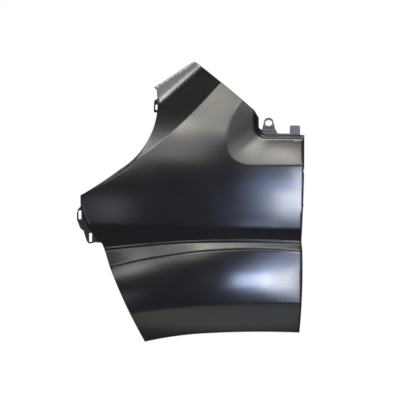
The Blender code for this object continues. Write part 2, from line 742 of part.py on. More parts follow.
def bracket():
    side = WINDOW_WIDE / 2 + LAND
    top = WINDOW_UPPER[1] + WINDOW_TALL / 2
    bottom = WINDOW_LOWER[1] - WINDOW_TALL / 2 - LAND
    outline = [(WINDOW_UPPER[0] - side + x, top + z) for x, z in UPPER_FRAME]
    outline += [(WINDOW_LOWER[0] - side + x, bottom + z) for x, z in LOWER_FRAME]
    outline += [p for p in bracket_root() if p[1] < top + ROOT_TOP]
    windows = [
        rounded_box(WINDOW_UPPER, WINDOW_WIDE, WINDOW_TALL, WINDOW_CORNER),
        rounded_box(WINDOW_LOWER, WINDOW_WIDE, WINDOW_TALL, WINDOW_CORNER),
    ]
    across = (WINDOW_UPPER[0] - 2 * side, NOTCH_REAR[0])
    bends = [[(x, z) for x in across] for z in (BRACKET_STEP_Z, BRACKET_STEP_Z - BRACKET_STEP_TALL)]
    return plate("front_bracket", outline, windows, bends, bracket_depth)


def loop_tab():
    edge_x = LAMP_TOP[0]
    left, right = edge_x - LOOP_OUT, edge_x - LOWER_FLANGE[3][0] + WALL / 2
    low, high = LOOP_LOW, LOOP_LOW + LOOP_TALL
    outline = [
        (left, low),
        (right, low),
        (right, high + LOOP_SHOULDER),
        (left + LOOP_BREAK, high),
    ]
    centre = (left + LOOP_LAND + LOOP_WINDOW[0] / 2, low + LOOP_SILL + LOOP_WINDOW[1] / 2)
    window = rounded_box(centre, *LOOP_WINDOW, LOOP_CORNER)
    level = skin_depth(edge_x, low + LOOP_TALL / 2) + LOOP_BEHIND
    return plate("loop_tab", outline, [window], [], lambda x, z: level)


def plate(name, outline, holes, bends, depth):
    bm = front_mesh(outline, holes, bends, [], depth)
    thicken(bm, WALL)
    return make_object(name, bm, hidden=True)


def make_object(name, bm, hidden=False):
    """Links a bmesh that is in drawing millimetres, moved to the part's origin and into metres."""
    origin = Vector(mount_point())
    for vert in bm.verts:
        vert.co = (vert.co - origin) * MM
    mesh = bpy.data.meshes.new(name)
    bm.to_mesh(mesh)
    bm.free()
    obj = bpy.data.objects.new(name, mesh)
    bpy.context.scene.collection.objects.link(obj)
    if hidden:
        obj.hide_render = True
        obj.display_type = "WIRE"
    return obj


def mount_point():
    """Middle of the bolt tab's back face, between its hole and its crown."""
    up = (BOLT_TAB_TOP + BOLT_HOLE_UP + BOLT_HOLE_Z) / 2
    z = notch_floor_z(BOLT_TAB_X) + up
    return BOLT_TAB_X, bolt_tab_depth(BOLT_TAB_X, z) + WALL, z


def black_moulding():
    material = bpy.data.materials.new("black_moulding")
    material.use_nodes = True
    shader = material.node_tree.nodes["Principled BSDF"]
    shader.inputs["Base Color"].default_value = (0.012, 0.012, 0.013, 1.0)
    shader.inputs["Roughness"].default_value = 0.32
    shader.inputs["Metallic"].default_value = 0.0
    return material


def build_fender():
    runs = outline_runs()
    outline = [p for run, _, _ in runs for p in run]
    lines = skin_lines()
    near_edge = lattice([outline + outline[:1]] + lines)
    bm = front_mesh(outline, [], lines, near_edge, skin_depth)
    clean(bm)
    add_flanges(bm, runs)
    fender = make_object("fender", bm)
    solidify = fender.modifiers.new("wall", "SOLIDIFY")
    solidify.thickness = WALL * MM
    solidify.offset = -1.0
    solidify.use_even_offset = True
    solidify.use_quality_normals = True
    for tab in (bolt_tab(), side_tab(), door_nub(), bracket(), loop_tab()):
        joined = fender.modifiers.new(tab.name, "BOOLEAN")
        joined.operation = "UNION"
        joined.solver = "EXACT"
        joined.object = tab
    relief = fender.modifiers.new("relief", "BOOLEAN")
    relief.operation = "DIFFERENCE"
    relief.solver = "EXACT"
    relief.object = relief_cutter()
    fender.data.materials.append(black_moulding())
    fender.data.shade_smooth()
    return fender


for old in list(bpy.data.objects):
    bpy.data.objects.remove(old)
build_fender()
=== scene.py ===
import math

import bmesh
import bpy
import numpy as np
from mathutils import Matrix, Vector
from mathutils.geometry import delaunay_2d_cdt


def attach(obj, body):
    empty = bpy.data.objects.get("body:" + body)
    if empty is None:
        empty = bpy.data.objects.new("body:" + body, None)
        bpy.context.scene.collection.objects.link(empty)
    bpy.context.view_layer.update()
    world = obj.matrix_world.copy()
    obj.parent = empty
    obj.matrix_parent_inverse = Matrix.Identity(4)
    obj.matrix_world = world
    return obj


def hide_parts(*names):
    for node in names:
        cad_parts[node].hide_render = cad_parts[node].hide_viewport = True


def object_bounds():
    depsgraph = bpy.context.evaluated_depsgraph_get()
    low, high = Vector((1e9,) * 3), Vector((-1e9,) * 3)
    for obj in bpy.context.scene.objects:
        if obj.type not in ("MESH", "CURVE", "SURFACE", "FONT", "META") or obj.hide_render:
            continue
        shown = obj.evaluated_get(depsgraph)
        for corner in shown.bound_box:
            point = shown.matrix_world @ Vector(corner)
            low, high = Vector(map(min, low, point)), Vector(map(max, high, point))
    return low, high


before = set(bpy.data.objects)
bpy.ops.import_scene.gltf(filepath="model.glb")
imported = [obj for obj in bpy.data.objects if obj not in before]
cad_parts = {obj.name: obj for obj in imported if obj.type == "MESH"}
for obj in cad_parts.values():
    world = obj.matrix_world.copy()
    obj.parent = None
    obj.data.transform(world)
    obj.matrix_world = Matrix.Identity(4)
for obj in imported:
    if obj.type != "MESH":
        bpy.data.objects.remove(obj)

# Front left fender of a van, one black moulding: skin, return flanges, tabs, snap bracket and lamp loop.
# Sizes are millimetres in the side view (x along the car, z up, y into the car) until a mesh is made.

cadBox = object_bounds()

outlinePoints = {
    "lowerFront": (-134.2, 3.3), "lowerMiddle": (-40.5, 20.6), "lowerJoin": (56.0, 29.6),
    "lowerRearMiddle": (199.5, 34.2), "lowerRear": (325.0, 32.0), "doorLowMiddle": (332.6, 150.0),
    "waistLow": (333.4, 272.0), "waistTop": (330.6, 303.0), "doorMiddle": (336.0, 450.0),
    "notchRear": (338.0, 607.5), "notchCorner": (192.3, 608.5), "notchTop": (192.0, 693.0),
    "cowlMiddle": (105.8, 767.2), "cowlTop": (17.3, 840.0), "peak": (10.0, 843.6),
    "hoodTip": (-107.5, 766.9), "lipEnd": (-98.5, 760.5), "lampTop": (-95.5, 728.0),
    "lampMiddle": (-166.0, 549.5), "lampLow": (-208.5, 516.6), "shelfMiddle": (-261.5, 479.0),
    "frontTip": (-329.0, 437.8), "frontMiddle": (-311.0, 369.0), "frontLow": (-264.0, 299.5),
    "grooveFrontTop": (-254.7, 277.0), "grooveFrontLow": (-240.2, 229.0),
    "lowerFrontMiddle": (-195.6, 122.8),
}

skin = {
    "wall": 2.5,
    "edgeStep": 4.0,        # between points along the edge
    "cell": 5.0,            # between points of the free surface
    "clearOfEdge": 3.2,     # no inner point lies nearer to the edge
    "notchRadius": 36.0,
    "doorBlend": 18.0,      # length over which the notch flange takes its full form
    "notchTaper": 20.0,     # length over which it narrows again below the cowl
    "creaseRows": (-7, -4, -2.4, -1.2, 0, 1.2, 2.4, 4, 7),      # rows of points beside a crease
    "pillarEnd": 120.0,     # the pillar's rows end here in x
    "rollRows": (3, 4, 2.5),            # margins before and after the roll, and the step across it
    "rollRun": (-150.0, 110.0),         # reach of its rows along it
    "bowlRays": (302.0, 100.0, -0.6),   # turns of the rays that find the bowl's edge, in degrees
    "rayPoints": 600,
    "slopeReach": 0.5,      # half the distance over which a slope is measured
    "steepest": 2.2,        # the inner face is moved no further than this many walls
    "sharpAngle": 38.0,     # degrees between faces from which an edge is drawn sharp
}

longLines = {
    "body": ((-275.0, 350.7), (12.0, 344.7), (331.0, 339.0)),
    "grooveTop": ((-258.0, 281.7), (22.5, 305.5), (331.0, 302.4)),
    "grooveLow": ((-243.0, 224.7), (22.5, 272.5), (331.0, 274.8)),
    "skirt": ((-173.0, 82.5), (22.5, 108.9), (331.0, 117.0)),
    "lowerEdge": ((-134.2, 3.3), (56.0, 29.6), (325.0, 32.0)),
    "pillar": ((-204.0, 510.3), (-45.0, 639.0), (90.0, 778.0)),
}

section = {
    # corners of the section from the body line down to the swell: line, distance below it, depth
    "corners": (
        ("body", 0.0, 0.0), ("grooveTop", 0.0, 16.0), ("grooveTop", 1.8, 13.2), ("grooveTop", 4.2, 12.9),
        ("grooveTop", 6.0, 15.6), ("grooveTop", 8.0, 17.6), ("grooveTop", 10.2, 16.3),
        ("grooveLow", -3.5, 7.0), ("grooveLow", 0.0, 5.5), ("grooveLow", 2.8, 9.6), ("grooveLow", 5.6, 7.9),
        ("grooveLow", 9.5, 6.6),
    ),
    "rows": (14, 4, 4, 4, 4, 4, 12, 4, 4, 4, 5, 34, 16),    # rows of points between two levels
    "swellCrest": 10.5, "crestAt": 0.35, "skirtReturn": 24.0,
    "crestFade": 12.0, "fadeStart": -60.0,    # the crest sinks towards the door
    "bodyRound": 5.0,                         # rounding of the body and skirt lines
    "grooveRound": 1.7,                       # and of the groove's corners
}

form = {
    "planSweep": 165.0, "leanStart": 430.0, "leanEnd": 700.0, "lean": 82.0, "tuck": 4.6, "tuckEnd": 342.0,
    "shoulderZ": 530.0, "shoulderSlope": 0.32, "bowlCentre": (299.0, 600.0), "bowlRadius": 190.0,
    "bowlCorner": 60.0, "shoulderRound": 7.0,
    "pillarSlope": 0.26, "pillarRound": 6.0,
    "rollPoint": (-26.7, 787.2), "rollAngle": 41.1, "rollStart": -22.0, "rollWidth": 34.0, "rollSlope": 1.4,
}

flanges = {                 # (outwards, inwards) from the skin's edge, from the bend to the free edge
    "lower": ((1.5, 0.5), (2.4, 1.8), (2.7, 5.0), (2.9, 8.5), (3.0, 12.0)),
    "door": ((1.8, 0.5), (3.4, 2.0), (4.2, 5.0), (4.7, 8.5), (5.1, 12.0)),
    "notchRear": ((2.0, 0.9), (3.2, 6.5), (9.0, 8.0), (10.5, 14.0), (13.0, 15.5)),
    "notchFloor": ((2.0, 0.9), (3.2, 6.5), (11.5, 8.5), (13.0, 15.5), (17.5, 17.0)),
    "notchCorner": ((2.0, 0.9), (5.0, 7.5), (10.5, 10.5), (17.0, 15.5), (25.0, 17.0)),
    "notchSide": ((2.0, 0.9), (7.0, 8.5), (9.6, 13.0), (14.0, 14.0), (14.6, 17.0)),
    "hood": ((0.6, 0.6), (0.9, 2.0), (1.0, 3.5), (1.1, 5.0), (1.2, 7.0)),
    "bracket": ((2.5, 0.8), (5.0, 2.6), (6.2, 7.0), (6.6, 11.5), (7.0, 16.0)),
    "bracketLow": ((2.0, 0.7), (3.6, 2.3), (4.4, 6.5), (4.7, 11.5), (5.0, 16.0)),
}


def parabola(line, x):
    (xa, za), (xb, zb), (xc, zc) = line
    first = (zb - za) / (xb - xa)
    second = ((zc - zb) / (xc - xb) - first) / (xc - xa)
    return za + (x - xa) * (first + second * (x - xb))


# Distance where positive, nothing where negative, rounded over width
def ramp(distance, width):
    eased = (distance + width / 2) ** 2 / (2 * width)
    return np.where(distance <= -width / 2, 0.0, np.where(distance >= width / 2, distance, eased))


def roundedLeast(a, b, radius):
    share = np.clip(0.5 + 0.5 * (b - a) / radius, 0.0, 1.0)
    return b + (a - b) * share - radius * share * (1 - share)


# Height and depth of each corner from the body line down to the top of the swell
def sectionLevels(x):
    return [(parabola(longLines[line], x) - below, depth) for line, below, depth in section["corners"]]


# Depth of the section, as slopes that change over a rounded corner at each level
def sectionDepth(x, z):
    levels = sectionLevels(x)
    s = section
    skirt = parabola(longLines["skirt"], x)
    swellTop, startDepth = levels[-1]
    tall = swellTop - skirt
    share = np.clip(x - s["fadeStart"], 0.0, None) / (outlinePoints["notchRear"][0] - s["fadeStart"])
    rise = startDepth + s["swellCrest"] - s["crestFade"] * share * share
    steep = 2 * rise / ((1 - s["crestAt"]) * tall)          # slope of the swell at its top
    curve = rise / ((1 - s["crestAt"]) * tall) ** 2
    depth, before = 0.0, 0.0
    for (za, da), (zb, db) in zip(levels, levels[1:]):
        slope = (db - da) / (za - zb)
        width = s["bodyRound"] if da == 0.0 else s["grooveRound"]
        depth = depth + (slope - before) * ramp(za - z, width)
        before = slope
    depth = depth + (-steep - before) * ramp(swellTop - z, s["grooveRound"])
    down = np.clip(swellTop - z, 0.0, None)
    inSwell = np.minimum(down, tall)
    depth = depth + curve * (inSwell**2 + 2 * tall * (down - inSwell))
    fall = s["skirtReturn"] / (skirt - parabola(longLines["lowerEdge"], x))
    return depth + (fall + steep - 2 * curve * tall) * ramp(skirt - z, s["bodyRound"])


def rollDirection():
    turn = math.radians(form["rollAngle"])
    return -math.sin(turn), math.cos(turn)


# Depth of the outer face at a place in the side view
def skinDepth(x, z):
    f = form
    x, z = np.asarray(x, float), np.asarray(z, float)
    start, end = outlinePoints["notchRear"][0], outlinePoints["frontTip"][0]
    depth = f["planSweep"] * ((start - x) / (start - end)) ** 2
    curve = f["leanEnd"] - f["leanStart"]
    up = np.clip(z - f["leanStart"], 0.0, curve)
    depth = depth + f["lean"] * up / curve * (up + 2 * np.clip(z - f["leanEnd"], 0.0, None)) / curve
    below = np.clip(f["leanStart"] - z, 0.0, f["leanStart"] - f["tuckEnd"])
    depth = depth + f["tuck"] * (below / (f["leanStart"] - f["tuckEnd"])) ** 2
    inside = f["bowlRadius"] - np.hypot(x - f["bowlCentre"][0], z - f["bowlCentre"][1])
    bowl = roundedLeast(z - f["shoulderZ"], inside, f["bowlCorner"])
    above = f["shoulderSlope"] * ramp(bowl, f["shoulderRound"])
    above = above + f["pillarSlope"] * ramp(z - parabola(longLines["pillar"], x), f["pillarRound"])
    across = rollDirection()
    past = (x - f["rollPoint"][0]) * across[0] + (z - f["rollPoint"][1]) * across[1]
    above = above + f["rollSlope"] * ramp(past - f["rollStart"] - f["rollWidth"] / 2, f["rollWidth"])
    return depth + np.where(z > f["tuckEnd"], above, 0.0) + sectionDepth(x, z)


def straight(a, b, step):
    count = max(1, round(math.dist(a, b) / step))
    return [(a[0] + (b[0] - a[0]) * i / count, a[1] + (b[1] - a[1]) * i / count) for i in range(count)]


def circleThrough(a, b, c):
    (ax, az), (bx, bz), (cx, cz) = a, b, c
    d = 2 * (ax * (bz - cz) + bx * (cz - az) + cx * (az - bz))
    a2, b2, c2 = ax * ax + az * az, bx * bx + bz * bz, cx * cx + cz * cz
    x = (a2 * (bz - cz) + b2 * (cz - az) + c2 * (az - bz)) / d
    z = (a2 * (cx - bx) + b2 * (ax - cx) + c2 * (bx - ax)) / d
    return x, z


def arc(a, b, c, step):
    centre = circleThrough(a, b, c)
    radius = math.dist(a, centre)
    start, through, end = (math.atan2(p[1] - centre[1], p[0] - centre[0]) for p in (a, b, c))
    sweep = (end - start) % math.tau
    if (through - start) % math.tau > sweep:
        sweep -= math.tau
    count = max(2, round(abs(sweep) * radius / step))
    turns = [start + sweep * i / count for i in range(count)]
    return [(centre[0] + radius * math.cos(t), centre[1] + radius * math.sin(t)) for t in turns]


def fillet(before, corner, after, radius):
    corner = Vector(corner)
    back = (Vector(before) - corner).normalized()
    ahead = (Vector(after) - corner).normalized()
    half = back.angle(ahead) / 2
    reach = radius / math.tan(half)
    centre = corner + (back + ahead).normalized() * (radius / math.sin(half))
    middle = centre + (corner - centre).normalized() * radius
    return tuple(corner + back * reach), tuple(middle), tuple(corner + ahead * reach)


def notchFloorZ(x):
    (xa, za), (xb, zb) = outlinePoints["notchCorner"], outlinePoints["notchRear"]
    return za + (x - xa) / (xb - xa) * (zb - za)


# The skin's edge as runs of points, each with its flange at the start and at the end
def outlineRuns():
    p, step = outlinePoints, skin["edgeStep"]
    first, middle, last = fillet(p["notchRear"], p["notchCorner"], p["notchTop"], skin["notchRadius"])
    blendX = p["notchRear"][0] - skin["doorBlend"]
    taper = (p["notchTop"][0], p["notchTop"][1] - skin["notchTaper"])
    corner = arc(first, middle, last, step)
    half = len(corner) // 2
    front = arc(p["frontTip"], p["frontMiddle"], p["frontLow"], step)
    third = len(front) // 4

    def run(kind, a, b, c=None, end=None):
        ends = [p[n] if isinstance(n, str) else n for n in (a, b, c) if n is not None]
        points = arc(*ends, step) if c is not None else straight(*ends, step)
        return points, kind, end or kind

    return [
        run("lower", "lowerFront", "lowerMiddle", "lowerJoin"),
        run("lower", "lowerJoin", "lowerRearMiddle", "lowerRear"),
        run("lower", "lowerRear", "doorLowMiddle", "waistLow"),
        run("lower", "waistLow", "waistTop"),
        run("lower", "waistTop", "doorMiddle", "notchRear", "door"),
        run("notchRear", "notchRear", (blendX, notchFloorZ(blendX)), end="notchFloor"),
        run("notchFloor", (blendX, notchFloorZ(blendX)), first),
        (corner[:half], "notchFloor", "notchCorner"),
        (corner[half:], "notchCorner", "notchSide"),
        run("notchSide", last, taper),
        run("notchSide", taper, "notchTop", end="lower"),
        run("lower", "notchTop", "cowlMiddle", "cowlTop"),
        run("lower", "cowlTop", "peak", end="hood"),
        run("hood", "peak", "hoodTip"),
        run("hood", "hoodTip", "lipEnd", end="lower"),
        run("lower", "lipEnd", "lampTop"),
        run("lower", "lampTop", "lampMiddle", "lampLow"),
        run("lower", "lampLow", "shelfMiddle", "frontTip"),
        (front[:third], "hood", "bracket"),
        (front[third:-third], "bracket", "bracket"),
        (front[-third:], "bracket", "bracketLow"),
        run("lower", "frontLow", "grooveFrontTop"),
        run("lower", "grooveFrontTop", "grooveFrontLow"),
        run("lower", "grooveFrontLow", "lowerFrontMiddle", "lowerFront"),
    ]


# Grid of the skin

# Heights from a to b, closer together near both ends
def clustered(a, b, count):
    share = 0.5 - 0.5 * np.cos(np.pi * np.arange(count) / count)
    return [a + (b - a) * s for s in share]


# Points of the lower skin, in rows that follow its long lines
def sectionRows():
    reach = outlinePoints
    xs = np.arange(reach["frontTip"][0], reach["notchRear"][0] + skin["cell"], skin["cell"])
    levels = [level[0] for level in sectionLevels(xs)]
    levels += [parabola(longLines["skirt"], xs), parabola(longLines["lowerEdge"], xs)]
    points = []
    for high, low, count in zip(levels, levels[1:], section["rows"]):
        for row in clustered(high, low, count):
            points.append(np.column_stack((xs, row)))
    return np.concatenate(points)


# Copies of a line of points, each moved sideways
def alongLine(points, offsets):
    points = np.asarray(points)
    step = np.gradient(points, axis=0)
    side = np.column_stack((-step[:, 1], step[:, 0])) / np.hypot(step[:, 0], step[:, 1])[:, None]
    return [points + side * off for off in offsets]


# Points along the pillar crease, the roll and the shoulder, close together across them
def creaseRows():
    cell = skin["cell"]
    xs = np.arange(outlinePoints["frontTip"][0], skin["pillarEnd"], cell * 0.8)
    pillar = np.column_stack((xs, parabola(longLines["pillar"], xs)))
    rows = alongLine(pillar, skin["creaseRows"])
    across = np.array(rollDirection())
    down = np.array((across[1], -across[0]))
    before, after, step = skin["rollRows"]
    for away in np.arange(form["rollStart"] - before, form["rollStart"] + form["rollWidth"] + after, step):
        run = np.arange(*skin["rollRun"], cell)[:, None]
        rows.append(np.array(form["rollPoint"]) + across * away + down * run)
    rows += alongLine(shoulderLine(), skin["creaseRows"])
    return rows


# Edge of the bowl, found along rays from its centre
def shoulderLine():
    centre = np.array(form["bowlCentre"])
    points = []
    for turn in np.radians(np.arange(*skin["bowlRays"])):
        reach = np.linspace(0.0, form["bowlRadius"], skin["rayPoints"])
        x, z = centre[0] + reach * math.cos(turn), centre[1] + reach * math.sin(turn)
        inside = form["bowlRadius"] - reach
        level = roundedLeast(z - form["shoulderZ"], inside, form["bowlCorner"])
        k = np.nonzero(level > 0)[0][-1]
        if not points or math.dist(points[-1], (x[k], z[k])) > skin["cell"] * 0.9:
            points.append((x[k], z[k]))
    return points


# Distance of each point to the outline, negative outside it
def edgeDistance(points, outline):
    a = np.asarray(outline)
    b = np.roll(a, -1, axis=0)
    best = np.full(len(points), np.inf)
    inside = np.zeros(len(points), bool)
    for (ax, az), (bx, bz) in zip(a, b):
        dx, dz = bx - ax, bz - az
        px, pz = points[:, 0] - ax, points[:, 1] - az
        t = np.clip((px * dx + pz * dz) / (dx * dx + dz * dz), 0.0, 1.0)
        best = np.minimum(best, np.hypot(px - t * dx, pz - t * dz))
        crosses = (az > points[:, 1]) != (bz > points[:, 1])
        if dz:
            inside ^= crosses & (points[:, 0] < ax + pz * dx / dz)
    return np.where(inside, best, -best)


# The points that lie no nearer than least to one already kept
def thinned(points, kept, least):
    cells = {}
    for p in kept:
        cells.setdefault((int(p[0] // least), int(p[1] // least)), []).append(p)
    chosen = []
    for p in points:
        i, k = int(p[0] // least), int(p[1] // least)
        near = (q for di in (-1, 0, 1) for dk in (-1, 0, 1) for q in cells.get((i + di, k + dk), ()))
        if all((p[0] - q[0]) ** 2 + (p[1] - q[1]) ** 2 > least * least for q in near):
            chosen.append(p)
            cells.setdefault((i, k), []).append(p)
    return chosen


def skinPoints(outline):
    p = outlinePoints
    cell = skin["cell"]
    lower = sectionRows()
    creases = np.concatenate(creaseRows())
    creases = creases[creases[:, 1] > parabola(longLines["body"], creases[:, 0]) + cell]
    creases = creases[edgeDistance(creases, outline) > skin["clearOfEdge"]]
    xs = np.arange(p["frontTip"][0], p["notchRear"][0], cell)
    zs = np.arange(p["frontLow"][1], p["peak"][1], cell)
    grid = np.array([(x, z) for z in zs for x in xs])
    grid = grid[grid[:, 1] > parabola(longLines["body"], grid[:, 0]) + cell * 0.8]
    lower = lower[edgeDistance(lower, outline) > skin["clearOfEdge"]]
    grid = grid[edgeDistance(grid, outline) > skin["clearOfEdge"]]
    kept = thinned(creases, [], 1.0)
    return list(lower) + kept + thinned(grid, kept, cell * 0.7)


def triangles(outline, holes, points):
    coords, edges, faces = [], [], []
    for path in [outline] + holes:
        start = len(coords)
        coords.extend(Vector(q) for q in path)
        edges.extend((start + i, start + (i + 1) % len(path)) for i in range(len(path)))
        faces.append(list(range(start, start + len(path))))
    coords.extend(Vector(q) for q in points)
    found = delaunay_2d_cdt(coords, edges, faces, 0, 0.001, True)
    inside = [face for face, origin in zip(found[2], found[5]) if list(origin) == [0]]
    places = np.array([tuple(v) for v in found[0]])
    return places, [turned(places, face) for face in inside], found[3]


# The face with its corners in order seen from the front, which is clockwise in x and z
def turned(places, face):
    (ax, az), (bx, bz), (cx, cz) = (places[i] for i in face[:3])
    return face if (bx - ax) * (cz - az) - (bz - az) * (cx - ax) > 0 else face[::-1]


# Flanges

# The polyline with its corners cut, its ends kept
def chaikin(points, times):
    points = np.asarray(points, float)
    for _ in range(times):
        a, b = points[:-1], points[1:]
        cut = np.empty((2 * len(a), 2))
        cut[0::2], cut[1::2] = 0.75 * a + 0.25 * b, 0.25 * a + 0.75 * b
        points = np.vstack((points[:1], cut[1:-1], points[-1:]))
    return points


def resampled(points, count):
    steps = np.hypot(*np.diff(points, axis=0).T)
    along = np.concatenate(([0.0], np.cumsum(steps)))
    at = np.linspace(0.0, along[-1], count)
    return np.column_stack([np.interp(at, along, points[:, k]) for k in (0, 1)])


innerSide = {
    "outerPoints": 90, "skinPoints": 60, "skinFrom": -12.0, "skinTo": -0.1, "points": 14,
    "clearShare": 0.985,    # a moved point nearer to the outer side than this many walls is left out
    "startShare": 1.05,     # the profile starts no deeper than this many walls
}


# The profile's inner side, a wall away from the outer one, with no loop at the bend
def innerProfile(outer, wall):
    s = innerSide
    dense = resampled(outer, s["outerPoints"])
    alongSkin = np.linspace(s["skinFrom"], s["skinTo"], s["skinPoints"])
    skinSide = np.column_stack((alongSkin, np.zeros(s["skinPoints"])))
    path = np.vstack((skinSide, dense))
    step = np.gradient(path, axis=0)
    normal = np.column_stack((-step[:, 1], step[:, 0])) / np.hypot(step[:, 0], step[:, 1])[:, None]
    moved = path + normal * wall
    gaps = np.hypot(moved[:, None, 0] - path[None, :, 0], moved[:, None, 1] - path[None, :, 1]).min(axis=1)
    clear = moved[gaps > wall * s["clearShare"]]
    level = wall * s["startShare"]
    start = max(i for i, q in enumerate(clear) if q[0] <= min(0.0, clear[-1][0]) and q[1] <= level)
    return resampled(np.vstack((clear[start:], [outer[-1] + normal[-1] * wall])), s["points"])


def cornerOffset(na, outA, nb, outB):
    cross = na[0] * nb[1] - na[1] * nb[0]
    if abs(cross) < 0.25:
        middle = (na + nb) / np.linalg.norm(na + nb)
        return middle * ((outA + outB) / 2 / middle.dot(na))
    return np.array(((outA * nb[1] - outB * na[1]) / cross, (outB * na[0] - outA * nb[0]) / cross))


# Rings of points round the whole edge, one for each point of the profiles
def flangeRings(outline, runs, profiles):
    count = len(profiles["lower"])
    nudge = 0.05            # keeps the ends of two runs apart along the edge
    starts, kinds, travelled, i = [], [], 0.0, 0
    lengths = [math.dist(outline[k], outline[(k + 1) % len(outline)]) for k in range(len(outline))]
    for points, first, last in runs:
        whole = sum(lengths[i:i + len(points)])
        starts += [travelled + nudge, travelled + whole - nudge]
        kinds += [first, last]
        travelled += whole
        i += len(points)
    table = np.array([profiles[k] for k in kinds])
    along = np.concatenate(([0.0], np.cumsum(lengths)))[:-1]

    def profileAt(s):
        s = s % travelled
        return [[np.interp(s, starts, table[:, k, m]) for m in (0, 1)] for k in range(count)]

    rings = [[] for _ in range(count)]
    for j, place in enumerate(outline):
        back = np.subtract(place, outline[j - 1])
        ahead = np.subtract(outline[(j + 1) % len(outline)], place)
        na = np.array((back[1], -back[0])) / np.linalg.norm(back)
        nb = np.array((ahead[1], -ahead[0])) / np.linalg.norm(ahead)
        before, after = profileAt(along[j] - 2 * nudge), profileAt(along[j] + 2 * nudge)
        level = float(skinDepth(*place))
        for k in range(count):
            move = cornerOffset(na, before[k][0], nb, after[k][0])
            inward = (before[k][1] + after[k][1]) / 2
            rings[k].append((place[0] + move[0], level + inward, place[1] + move[1]))
    return [np.array(ring) for ring in rings]


# One closed mesh: outer face, flanges, their free edge and the inner face
def buildSkin():
    runs = outlineRuns()
    outline = [q for points, _, _ in runs for q in points]
    places, faces, origins = triangles(outline, [], skinPoints(outline))
    rim = np.full(len(outline), -1)
    for i, froms in enumerate(origins):
        for o in froms:
            if o < len(outline):
                rim[o] = i
    depth = skinDepth(places[:, 0], places[:, 1])
    outer = np.column_stack((places[:, 0], depth, places[:, 1]))
    xs, zs, h = places[:, 0], places[:, 1], skin["slopeReach"]
    slopeX = (skinDepth(xs + h, zs) - skinDepth(xs - h, zs)) / (2 * h)
    slopeZ = (skinDepth(xs, zs + h) - skinDepth(xs, zs - h)) / (2 * h)
    inner = outer.copy()
    inner[:, 1] += skin["wall"] * np.minimum(np.sqrt(1 + slopeX**2 + slopeZ**2), skin["steepest"])

    outerProfiles = {k: chaikin([(0.0, 0.0), *v], 2) for k, v in flanges.items()}
    innerProfiles = {k: innerProfile(v, skin["wall"]) for k, v in outerProfiles.items()}
    outerRings = flangeRings(outline, runs, {k: v[1:] for k, v in outerProfiles.items()})
    innerRings = flangeRings(outline, runs, innerProfiles)
    inner[rim] = innerRings[0]

    count, around = len(outer), len(outline)
    verts = [outer, inner] + outerRings + innerRings[1:]
    rings = [np.arange(around) + 2 * count + k * around for k in range(len(outerRings) + len(innerRings) - 1)]
    outerLoops = [rim] + rings[:len(outerRings)]
    innerLoops = [rim + count] + rings[len(outerRings):]
    loops = outerLoops + innerLoops[::-1]
    polygons = [list(face) for face in faces]
    polygons += [[i + count for i in face[::-1]] for face in faces]
    kinds = [0] * len(faces) + [1] * len(faces)
    for k, (near, far) in enumerate(zip(loops, loops[1:])):
        for i in range(around):
            j = (i + 1) % around
            polygons.append([int(near[j]), int(near[i]), int(far[i]), int(far[j])])
            kinds.append(0 if k <= len(outerRings) else 1)
    return np.concatenate(verts), polygons, kinds


tabs = {
    "boltX": 236.0, "boltTop": 64.5, "halfTop": 12.6, "halfLow": 19.2, "foot": 17.0,
    "footMiddle": (6.8, 5.5), "heel": (2.5, 4.0), "inset": 1.0, "crown": 6.3,
    "holeX": 10.7, "holeZ": 8.7, "holeUp": 48.7,
    "joggle": 3.0, "joggleLow": (22.0, 26.0), "joggleHigh": (32.0, 36.5),
    "sideX": 314.5, "sideHalf": 15.3, "sideTop": 41.8, "chamfer": 6.0, "nose": 4.2, "break": 1.2,
    "behind": 17.8, "root": 3.2,
    "nubZ": 409.5, "nubTall": 5.0, "nubOut": 2.4, "nubCorner": 1.0,
    "reliefZ": 511.0, "reliefTall": 13.0, "reliefRim": 1.4, "reliefClear": 8.0, "reliefCorner": 2.0,
    "rimRound": 0.5,        # rounding of the tabs' edges
    "rimAngle": 50.0,       # degrees between faces from which an edge is rounded
}

bracket = {
    "windowWide": 8.4, "windowTall": 26.2, "windowCorner": 2.4,
    "upper": (-331.5, 381.3), "lower": (-299.4, 313.3), "land": 5.0, "behind": 9.5,
    "step": 5.0, "stepZ": 341.0, "stepTall": 8.0, "rootInset": 0.5, "rootTop": 17.5,
    "upperFrame": ((3.0, 3.0), (0.0, -8.0), (0.0, -27.2), (5.0, -40.2), (10.0, -53.4)),
    "lowerFrame": ((-12.0, 37.8), (-7.5, 22.8), (-2.5, 7.5), (2.5, 1.0), (8.2, -0.5), (24.2, 3.5)),
    "loopOut": 14.0, "loopLow": 690.0, "loopTall": 35.0, "loopWindow": (6.2, 15.5), "loopLand": 5.2,
    "loopSill": 7.8, "loopBehind": 8.0, "loopShoulder": 8.0, "loopBreak": 1.0, "loopCorner": 1.5,
}


def tabLevel(x):
    return float(skinDepth(x, notchFloorZ(x))) + tabs["behind"]


def tabBase(x):
    return notchFloorZ(x) + flanges["notchFloor"][-1][0] - tabs["root"]


def doorEdgeX(z):
    p = outlinePoints
    centre = circleThrough(p["waistTop"], p["doorMiddle"], p["notchRear"])
    radius = math.dist(p["waistTop"], centre)
    side = math.copysign(1.0, p["doorMiddle"][0] - centre[0])
    return centre[0] + side * math.sqrt(radius**2 - (z - centre[1]) ** 2)


def roundedBox(centre, wide, tall, radius, steps=6):
    points = []
    for i, (sx, sz) in enumerate(((1, -1), (1, 1), (-1, 1), (-1, -1))):
        cx, cz = centre[0] + sx * (wide / 2 - radius), centre[1] + sz * (tall / 2 - radius)
        for k in range(steps + 1):
            turn = math.radians(-90 + 90 * i + 90 * k / steps)
            points.append((cx + radius * math.cos(turn), cz + radius * math.sin(turn)))
    return points


